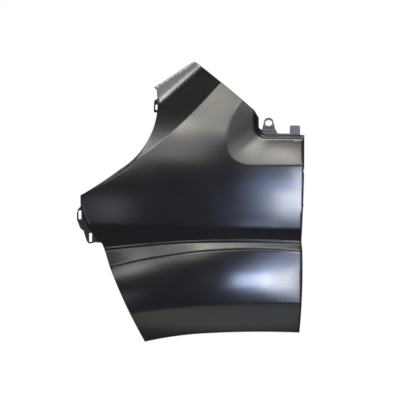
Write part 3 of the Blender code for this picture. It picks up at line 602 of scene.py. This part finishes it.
def joggled(up, step):
    share = np.clip((up - step[0]) / (step[1] - step[0]), 0.0, 1.0)
    return tabs["joggle"] * share * share * (3 - 2 * share)


def boltDepth(x, z):
    up = z - notchFloorZ(tabs["boltX"])
    return tabLevel(tabs["boltX"]) + joggled(up, tabs["joggleLow"]) + joggled(up, tabs["joggleHigh"])


# A flat moulding with soft rims, from its outline and the depth of its face
def plate(name, outline, holes, depth, cell=2.5, thick=None, slot=1):
    xs, zs = zip(*outline)
    rows = np.arange(min(zs), max(zs), cell)
    grid = np.array([(x, z) for x in np.arange(min(xs), max(xs), cell) for z in rows])
    clear = edgeDistance(grid, outline) > cell * 0.5
    for hole in holes:
        clear &= edgeDistance(grid, hole) < -cell * 0.5
    places, faces, _ = triangles(outline, holes, list(grid[clear]))
    bm = bmesh.new()
    verts = [bm.verts.new((x, float(depth(x, z)), z)) for x, z in places]
    for face in faces:
        bm.faces.new([verts[i] for i in face])
    bmesh.ops.delete(bm, geom=[v for v in bm.verts if not v.link_faces], context="VERTS")
    made = bmesh.ops.extrude_face_region(bm, geom=bm.faces[:], use_keep_orig=True)
    backs = [g for g in made["geom"] if isinstance(g, bmesh.types.BMVert)]
    bmesh.ops.translate(bm, verts=backs, vec=(0.0, thick or skin["wall"], 0.0))
    bmesh.ops.recalc_face_normals(bm, faces=bm.faces)
    obj = toObject(name, bm)
    obj.data.polygons.foreach_set("material_index", [slot] * len(obj.data.polygons))
    soften = obj.modifiers.new("rims", "BEVEL")
    soften.width = tabs["rimRound"] / 1000
    soften.segments = 2
    soften.limit_method = "ANGLE"
    soften.angle_limit = math.radians(tabs["rimAngle"])
    return obj


def boltTab():
    t = tabs
    x, floor, base = t["boltX"], notchFloorZ(t["boltX"]), tabBase(t["boltX"])
    top, knee = floor + t["boltTop"], floor + t["joggleHigh"][0]
    right, left = (x + t["halfTop"], top - t["crown"]), (x - t["halfTop"], top - t["crown"])
    low = x + t["halfLow"]
    outline = [
        (x - t["halfLow"] + t["inset"], base),
        *arc((low + t["foot"], base), (low + t["footMiddle"][0], base + t["footMiddle"][1]),
             (low + t["heel"][0], knee - t["heel"][1]), 2.5),
        (low + t["heel"][0], knee - t["heel"][1]),
        (low, knee),
        *arc(right, (x, top), left, 2.0),
        left,
        (x - t["halfLow"], knee),
    ]
    turns = np.arange(48) * math.tau / 48
    hole = [(x + t["holeX"] * math.cos(a), floor + t["holeUp"] + t["holeZ"] * math.sin(a)) for a in turns]
    return plate("boltTab", outline, [hole], boltDepth, 1.6, slot=2)


def sideTab():
    t = tabs
    base, top = tabBase(t["sideX"]), notchFloorZ(t["sideX"]) + t["sideTop"]
    left, right = t["sideX"] - t["sideHalf"], t["sideX"] + t["sideHalf"]
    outline = [
        (left, base), (right, base), (right, top - t["nose"]), (right - t["break"], top - t["break"]),
        (right - t["nose"], top), (left + t["chamfer"], top), (left + t["break"], top - t["break"]),
        (left, top - t["chamfer"]),
    ]
    level = tabLevel(t["sideX"])
    return plate("sideTab", outline, [], lambda x, z: level, slot=2)


def doorNub():
    x, out = doorEdgeX(tabs["nubZ"]), flanges["door"][-1][0]
    wide = out + tabs["nubOut"] - skin["wall"]
    place = x + (out + tabs["nubOut"]) / 2 - skin["wall"] / 2, tabs["nubZ"]
    outline = roundedBox(place, wide, tabs["nubTall"], tabs["nubCorner"])
    level = float(skinDepth(x, tabs["nubZ"])) + flanges["door"][2][1]
    return plate("doorNub", outline, [], lambda x, z: level, 1.5)


def bracketDepth(x, z):
    b = bracket
    down = min(1.0, max(0.0, (b["stepZ"] - z) / b["stepTall"]))
    level = float(skinDepth(*outlinePoints["frontMiddle"])) + b["behind"]
    return level - b["step"] * down * down * (3 - 2 * down)


def snapBracket():
    b, p = bracket, outlinePoints
    side = b["windowWide"] / 2 + b["land"]
    top = b["upper"][1] + b["windowTall"] / 2
    bottom = b["lower"][1] - b["windowTall"] / 2 - b["land"]
    outline = [(b["upper"][0] - side + x, top + z) for x, z in b["upperFrame"]]
    outline += [(b["lower"][0] - side + x, bottom + z) for x, z in b["lowerFrame"]]
    edge = arc(p["frontTip"], p["frontMiddle"], p["frontLow"], skin["edgeStep"]) + [p["frontLow"]]
    out = flanges["bracketLow"][2][0] - b["rootInset"]
    root = []
    for before, place, after in zip(edge[:1] + edge, edge, edge[1:] + edge[-1:]):
        along = (Vector(after) - Vector(before)).normalized()
        root.append((place[0] + along.y * out, place[1] - along.x * out))
    outline += [q for q in root[::-1] if q[1] < top + b["rootTop"]]
    window = b["windowWide"], b["windowTall"], b["windowCorner"]
    windows = [roundedBox(b[k], *window) for k in ("upper", "lower")]
    return plate("snapBracket", outline, windows, bracketDepth, 2.2)


def lampLoop():
    b = bracket
    edgeX = outlinePoints["lampTop"][0]
    left, right = edgeX - b["loopOut"], edgeX - flanges["lower"][3][0] + skin["wall"] / 2
    low, high = b["loopLow"], b["loopLow"] + b["loopTall"]
    outline = [(left, low), (right, low), (right, high + b["loopShoulder"]), (left + b["loopBreak"], high)]
    wide, tall = b["loopWindow"]
    centre = left + b["loopLand"] + wide / 2, low + b["loopSill"] + tall / 2
    window = roundedBox(centre, wide, tall, b["loopCorner"])
    level = float(skinDepth(edgeX, low + b["loopTall"] / 2)) + b["loopBehind"]
    return plate("lampLoop", outline, [window], lambda x, z: level)


def reliefCutter():
    t = tabs
    edgeX = doorEdgeX(t["reliefZ"])
    wide = flanges["door"][-1][0] + t["reliefClear"]
    place = edgeX + wide / 2 + t["reliefRim"] / 4, t["reliefZ"]
    outline = roundedBox(place, wide, t["reliefTall"], t["reliefCorner"])
    level = float(skinDepth(edgeX, t["reliefZ"])) + t["reliefRim"]
    deep = flanges["door"][-1][1] + t["reliefClear"]
    cutter = plate("reliefCutter", outline, [], lambda x, z: level, 3.0, deep)
    cutter.modifiers.clear()
    return cutter


# Back face of the bolt tab, midway between its hole and its crown
def origin():
    up = (tabs["boltTop"] + tabs["holeUp"] + tabs["holeZ"]) / 2
    z = notchFloorZ(tabs["boltX"]) + up
    return np.array((tabs["boltX"], float(boltDepth(tabs["boltX"], z)) + skin["wall"], z))


# Links a mesh that is in side-view millimetres, moved to the part's origin and into metres
def toObject(name, source):
    mesh = bpy.data.meshes.new(name)
    if isinstance(source, bmesh.types.BMesh):
        place = Vector(origin())
        for vert in source.verts:
            vert.co = (vert.co - place) / 1000
        source.to_mesh(mesh)
        source.free()
    else:
        verts, polygons, kinds = source
        mesh.from_pydata(((verts - origin()) / 1000).tolist(), [], polygons)
        mesh.polygons.foreach_set("material_index", kinds)
    obj = bpy.data.objects.new(name, mesh)
    bpy.context.scene.collection.objects.link(obj)
    return obj


def combine(obj, other, operation):
    step = obj.modifiers.new(operation.lower(), "BOOLEAN")
    step.operation = operation
    step.solver = "MANIFOLD"
    step.object = other
    graph = bpy.context.evaluated_depsgraph_get()
    made = bpy.data.meshes.new_from_object(obj.evaluated_get(graph))
    obj.modifiers.clear()
    obj.data = made
    bpy.data.objects.remove(other)


# Materials

def linear(hexColour):
    values = [int(hexColour[i:i + 2], 16) / 255 for i in (1, 3, 5)]
    return [v / 12.92 if v <= 0.04045 else ((v + 0.055) / 1.055) ** 2.4 for v in values] + [1.0]


# Adds a node, sets its inputs or properties, and links (source node, output, input) into it
def addNode(tree, kind, links=(), **settings):
    made = tree.nodes.new(kind)
    for name, value in settings.items():
        key = name.replace("_", " ")
        if key in made.inputs:
            made.inputs[key].default_value = value
        else:
            setattr(made, name, value)
    for source, output, entry in links:
        tree.links.new(source.outputs[output], made.inputs[entry])
    return made


finish = {
    "ior": 1.5,
    "colour": "#0f0f10", "colourWorn": "#131314", "roughness": (0.20, 0.24),
    "flowMm": 90.0,         # length of the soft changes in gloss
    "peelMm": 2.6,          # spacing of the faint waviness of the surface
    "peelDepthMm": 0.0006,
    "backColour": "#0c0c0c", "backRoughness": (0.58, 0.74),
    "backSpecularWithShade": 0.25,   # half the mirror light: partly the matt eroded grain, partly painted shade that darkens the snap bracket
    "grainMm": 1.2,         # grain of the eroded mould, drawn coarser than the real 0.3 mm so that it shows
    "grainDepthMm": 0.03,
    "mistColour": "#151413", "mistRoughness": (0.43, 0.53),
    "mistMm": 4.0,          # patches of the thin paint mist on the tabs
    "noiseMiddle": (0.3, 0.7),          # the part of a noise that the gloss follows
}


def newMaterial(name):
    material = bpy.data.materials.new(name)
    material.use_nodes = True
    return material, material.node_tree


# What the three finishes of the thermoplastic share
def newPlastic(name):
    material, tree = newMaterial(name)
    shader = tree.nodes["Principled BSDF"]
    shader.inputs["IOR"].default_value = finish["ior"]
    return material, tree, shader, addNode(tree, "ShaderNodeTexCoord")


# Moulded thermoplastic under satin paint: deep black with wide soft highlights and a barely wavy gloss
def satinBlack():
    material, tree, shader, place = newPlastic("satinBlackMoulding")
    flow = addNode(tree, "ShaderNodeTexNoise", [(place, "Object", "Vector")],
                   Scale=1000 / finish["flowMm"], Detail=3.0)
    colour = addNode(tree, "ShaderNodeMix", [(flow, "Fac", "Factor")], data_type="RGBA")
    colour.inputs[6].default_value = linear(finish["colour"])
    colour.inputs[7].default_value = linear(finish["colourWorn"])
    tree.links.new(colour.outputs[2], shader.inputs["Base Color"])
    low, high = finish["roughness"]
    start, end = finish["noiseMiddle"]
    gloss = addNode(tree, "ShaderNodeMapRange", [(flow, "Fac", "Value")],
                    From_Min=start, From_Max=end, To_Min=low, To_Max=high)
    tree.links.new(gloss.outputs[0], shader.inputs["Roughness"])
    peel = addNode(tree, "ShaderNodeTexNoise", [(place, "Object", "Vector")],
                   Scale=1000 / finish["peelMm"], Detail=1.0)
    bump = addNode(tree, "ShaderNodeBump", [(peel, "Fac", "Height")],
                   Distance=finish["peelDepthMm"] / 1000, Strength=1.0)
    tree.links.new(bump.outputs[0], shader.inputs["Normal"])
    return material


# The same thermoplastic straight from an eroded mould: matt, nearly black and finely grained, its darker
# colour and halved mirror light partly painted shade on the snap bracket
def mouldedBack():
    material, tree, shader, place = newPlastic("erodedBlackBackFace")
    shader.inputs["Base Color"].default_value = linear(finish["backColour"])
    # painted shade: the lowered mirror light and darker colour dim the snap bracket, loop and back face
    # beyond what their matt grain gives
    shader.inputs["Specular IOR Level"].default_value = finish["backSpecularWithShade"]
    grain = addNode(tree, "ShaderNodeTexNoise", [(place, "Object", "Vector")],
                    Scale=1000 / finish["grainMm"], Detail=2.0)
    low, high = finish["backRoughness"]
    gloss = addNode(tree, "ShaderNodeMapRange", [(grain, "Fac", "Value")], To_Min=low, To_Max=high)
    tree.links.new(gloss.outputs[0], shader.inputs["Roughness"])
    bump = addNode(tree, "ShaderNodeBump", [(grain, "Fac", "Height")],
                   Distance=finish["grainDepthMm"] / 1000, Strength=1.0)
    tree.links.new(bump.outputs[0], shader.inputs["Normal"])
    return material


# The moulded tabs behind the notch, which only a mist of the paint has reached: between satin and matt
def mistedTab():
    material, tree, shader, place = newPlastic("mistedBlackTab")
    shader.inputs["Base Color"].default_value = linear(finish["mistColour"])
    mist = addNode(tree, "ShaderNodeTexNoise", [(place, "Object", "Vector")],
                   Scale=1000 / finish["mistMm"], Detail=3.0)
    low, high = finish["mistRoughness"]
    start, end = finish["noiseMiddle"]
    gloss = addNode(tree, "ShaderNodeMapRange", [(mist, "Fac", "Value")],
                    From_Min=start, From_Max=end, To_Min=low, To_Max=high)
    tree.links.new(gloss.outputs[0], shader.inputs["Roughness"])
    return material


def buildFender():
    fender = toObject("fenderMoulding", buildSkin())
    print("skin", len(fender.data.polygons), "faces")
    for material in (satinBlack(), mouldedBack(), mistedTab()):
        fender.data.materials.append(material)
    for tab in (boltTab(), sideTab(), doorNub(), snapBracket(), lampLoop()):
        combine(fender, tab, "UNION")
        print("joined", len(fender.data.polygons), "faces")
    combine(fender, reliefCutter(), "DIFFERENCE")
    fender.data.shade_smooth()
    fender.data.set_sharp_from_angle(angle=math.radians(skin["sharpAngle"]))
    print("fender", len(fender.data.polygons), "faces")
    return fender


# Studio
studio = {
    "mmPerPixel": 3.0, "pictureCentre": (30.0, 426.0), "pictureSide": 400,
    "cameraAway": 20.0, "cameraSees": 100.0, "sensorMm": 36.0,      # away and sees in metres
    "floorBelow": 0.45, "floorHalf": 3.5, "floorColour": "#f4f4f2", "floorRoughness": 0.9,
    "worldOnObject": 0.55,              # the world's strength as a light, next to 1 as the white background
    "lampsAway": 6.0,
}

lamps = {
    # azimuth (0 = the camera's side) and elevation in degrees, from the fender's middle or from seenFrom,
    # a place of the side view; away in metres where it isn't lampsAway; wide and tall in degrees, or size
    # in metres; spread in degrees where a grid narrows the beam
    "frontCore": {"azimuth": 3.0, "elevation": -0.3, "wide": 12.0, "tall": 13.0, "radiance": 27.0,
                  "colour": "#f6f9ff"},
    "frontBlue": {"azimuth": -0.5, "elevation": 2.0, "wide": 20.0, "tall": 26.0, "radiance": 4.4,
                  "colour": "#94b4ff"},
    "frontLow": {"azimuth": 0.0, "elevation": -11.0, "wide": 12.0, "tall": 8.0, "radiance": 15.0,
                 "colour": "#84b4ff"},
    "frontRise": {"azimuth": -1.0, "elevation": 10.0, "wide": 8.0, "tall": 9.0, "radiance": 8.0,
                  "colour": "#c8d8ff"},
    "frontHigh": {"azimuth": -4.0, "elevation": 20.0, "wide": 10.0, "tall": 16.0, "radiance": 3.4,
                  "colour": "#c4d6ff"},
    "cornerStrip": {"seenFrom": (325.0, 497.0), "away": 0.7, "azimuth": 3.0, "elevation": 15.0,
                    "wide": 10.0, "tall": 22.0, "radiance": 22.0, "colour": "#e8efff"},
    "flareStrip": {"seenFrom": (188.0, 187.0), "away": 0.45, "azimuth": -9.0, "elevation": 4.0,
                   "wide": 24.0, "tall": 16.0, "spread": 40.0, "radiance": 1.0, "colour": "#ccdcff"},
    "overheadCore": {"azimuth": -8.0, "elevation": 63.0, "wide": 5.0, "tall": 11.0, "radiance": 13.0,
                     "colour": "#fffdf8"},
    "overheadRight": {"azimuth": 4.0, "elevation": 61.0, "wide": 4.0, "tall": 11.0, "radiance": 21.0,
                      "colour": "#fff9ee"},
    "overheadLeft": {"azimuth": -33.0, "elevation": 58.0, "wide": 15.0, "tall": 20.0, "radiance": 5.2,
                     "colour": "#fffbee"},
    "overheadHot": {"azimuth": -35.0, "elevation": 63.0, "wide": 8.0, "tall": 7.0, "radiance": 5.0,
                    "colour": "#fffbee"},
    "overheadMiddle": {"azimuth": -40.0, "elevation": 50.0, "wide": 7.0, "tall": 9.0, "radiance": 14.0,
                       "colour": "#fffbee"},
    "leftHot": {"azimuth": -66.0, "elevation": 47.0, "wide": 7.0, "tall": 9.0, "radiance": 22.0,
                "colour": "#fffaf0"},
    "overheadSoft": {"azimuth": -4.0, "elevation": 51.0, "wide": 30.0, "tall": 9.0, "radiance": 4.0,
                     "colour": "#fffefa"},
    "softRight": {"azimuth": 18.0, "elevation": 42.0, "wide": 13.0, "tall": 10.0, "radiance": 2.2,
                  "colour": "#f8faff"},
    "softLeft": {"azimuth": -37.0, "elevation": 37.0, "wide": 18.0, "tall": 18.0, "radiance": 3.6,
                 "colour": "#fffefa"},
    "rimBox": {"azimuth": -136.0, "elevation": 43.5, "wide": 6.0, "tall": 8.0, "radiance": 14.0,
               "colour": "#fffefa"},
    "upperLeftBox": {"azimuth": -78.0, "elevation": 46.0, "wide": 6.0, "tall": 16.0, "radiance": 3.0,
                     "colour": "#fffdf6"},
    "leftBox": {"azimuth": -53.0, "elevation": 25.0, "wide": 12.0, "tall": 9.0, "radiance": 7.0,
                "colour": "#ffffff"},
    "leftLow": {"azimuth": -49.0, "elevation": -4.0, "wide": 10.0, "tall": 10.0, "radiance": 2.0,
                "colour": "#f0f4ff"},
    "skirtStrip": {"seenFrom": (40.0, 70.0), "away": 0.2, "azimuth": -8.0, "elevation": -32.0,
                   "size": (0.7, 0.075), "radiance": 1.0, "colour": "#fffefa"},
}

drape = {
    # (distance, height) in metres from the fender's middle, turned from the first azimuth to the second
    "profile": ((0.45, -0.86), (2.4, -0.84), (5.0, -0.84), (8.0, -0.8), (8.6, 1.5), (8.2, 4.0), (6.8, 6.4),
                (4.4, 8.0), (2.0, 8.6), (0.05, 8.8)),
    "azimuths": (-133, 150), "steps": 48, "glow": 0.05,
}


def direction(azimuth, elevation):
    a, e = math.radians(azimuth), math.radians(elevation)
    return Vector((math.sin(a) * math.cos(e), -math.cos(a) * math.cos(e), math.sin(e)))


def addLamps(middle):
    for name, lamp in lamps.items():
        start, away = middle, lamp.get("away", studio["lampsAway"])
        if "seenFrom" in lamp:
            x, z = lamp["seenFrom"]
            start = (Vector((x, float(skinDepth(x, z)), z)) - Vector(origin())) / 1000
        toLamp = direction(lamp["azimuth"], lamp["elevation"])
        data = bpy.data.lights.new(name, "AREA")
        data.shape = "RECTANGLE"
        if "size" in lamp:
            data.size, data.size_y = lamp["size"]
        else:
            data.size = 2 * away * math.tan(math.radians(lamp["wide"] / 2))
            data.size_y = 2 * away * math.tan(math.radians(lamp["tall"] / 2))
        data.energy = lamp["radiance"] * data.size * data.size_y * math.pi
        data.color = linear(lamp["colour"])[:3]
        data.spread = math.radians(lamp.get("spread", 180.0))
        box = bpy.data.objects.new(name, data)
        box.location = start + toLamp * away
        box.rotation_euler = toLamp.to_track_quat("Z", "Y").to_euler()
        box.visible_camera = False
        bpy.context.scene.collection.objects.link(box)
    print("lamps", len(lamps))


# A dark cloth round the front and the sides that only the gloss of the fender sees
def addDrape(middle):
    bm = bmesh.new()
    first, last = drape["azimuths"]
    rows = []
    for away, height in drape["profile"]:
        ring = []
        for azimuth in np.linspace(first, last, drape["steps"] + 1):
            place = middle + direction(azimuth, 0.0) * away
            ring.append(bm.verts.new((place.x, place.y, middle.z + height)))
        rows.append(ring)
    for low, high in zip(rows, rows[1:]):
        for i in range(len(low) - 1):
            bm.faces.new((low[i], low[i + 1], high[i + 1], high[i]))
    mesh = bpy.data.meshes.new("darkDrape")
    bm.to_mesh(mesh)
    bm.free()
    cloth = bpy.data.objects.new("darkDrape", mesh)
    bpy.context.scene.collection.objects.link(cloth)
    material, tree = newMaterial("blackDrapeCloth")
    tree.nodes.remove(tree.nodes["Principled BSDF"])
    glowing = addNode(tree, "ShaderNodeEmission", Color=(1.0, 1.0, 1.0, 1.0), Strength=drape["glow"])
    tree.links.new(glowing.outputs[0], tree.nodes["Material Output"].inputs["Surface"])
    mesh.materials.append(material)
    cloth.visible_camera = cloth.visible_diffuse = cloth.visible_shadow = cloth.visible_transmission = False


def addWorld():
    world = bpy.data.worlds.new("studioAir")
    bpy.context.scene.world = world
    world.use_nodes = True
    tree = world.node_tree
    rays = addNode(tree, "ShaderNodeLightPath")
    seen = addNode(tree, "ShaderNodeMath", [(rays, "Is Camera Ray", 0), (rays, "Is Glossy Ray", 1)],
                   operation="MAXIMUM")
    seen = addNode(tree, "ShaderNodeMath", [(seen, 0, 0), (rays, "Is Transmission Ray", 1)],
                   operation="MAXIMUM")
    level = addNode(tree, "ShaderNodeMapRange", [(seen, 0, "Value")],
                    To_Min=studio["worldOnObject"], To_Max=1.0)
    background = tree.nodes["Background"]
    background.inputs["Color"].default_value = (1.0, 1.0, 1.0, 1.0)
    tree.links.new(level.outputs[0], background.inputs["Strength"])


def addFloor(middle, low):
    mesh = bpy.data.meshes.new("studioFloor")
    half, z = studio["floorHalf"], low - studio["floorBelow"]
    around = ((-1, -1), (1, -1), (1, 1), (-1, 1))
    corners = [(middle.x + sx * half, middle.y + sy * half, z) for sx, sy in around]
    mesh.from_pydata(corners, [], [(0, 1, 2, 3)])
    floor = bpy.data.objects.new("studioFloor", mesh)
    bpy.context.scene.collection.objects.link(floor)
    material, tree = newMaterial("paleFloorPaper")
    shader = tree.nodes["Principled BSDF"]
    shader.inputs["Base Color"].default_value = linear(studio["floorColour"])
    shader.inputs["Roughness"].default_value = studio["floorRoughness"]
    mesh.materials.append(material)


# Square on, with a long lens, so that the picture keeps the side view's proportions
def addCamera():
    place = origin()
    x = (studio["pictureCentre"][0] - place[0]) / 1000
    z = (studio["pictureCentre"][1] - place[2]) / 1000
    data = bpy.data.cameras.new("camera")
    data.sensor_width = studio["sensorMm"]
    wide = studio["pictureSide"] * studio["mmPerPixel"] / 1000
    data.lens = studio["sensorMm"] * studio["cameraAway"] / wide
    data.clip_end = studio["cameraSees"]
    camera = bpy.data.objects.new("camera", data)
    camera.location = (x, -studio["cameraAway"], z)
    camera.rotation_euler = (math.pi / 2, 0.0, 0.0)
    bpy.context.scene.collection.objects.link(camera)
    bpy.context.scene.camera = camera


addCamera()
fender = buildFender()
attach(fender, "root")
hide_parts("fender")
middle = (Vector(cadBox[0]) + Vector(cadBox[1])) / 2
addWorld()
addLamps(middle)
addDrape(middle)
addFloor(middle, cadBox[0][2])
bpy.context.scene.view_settings.view_transform = "Standard"
print("studio ready")
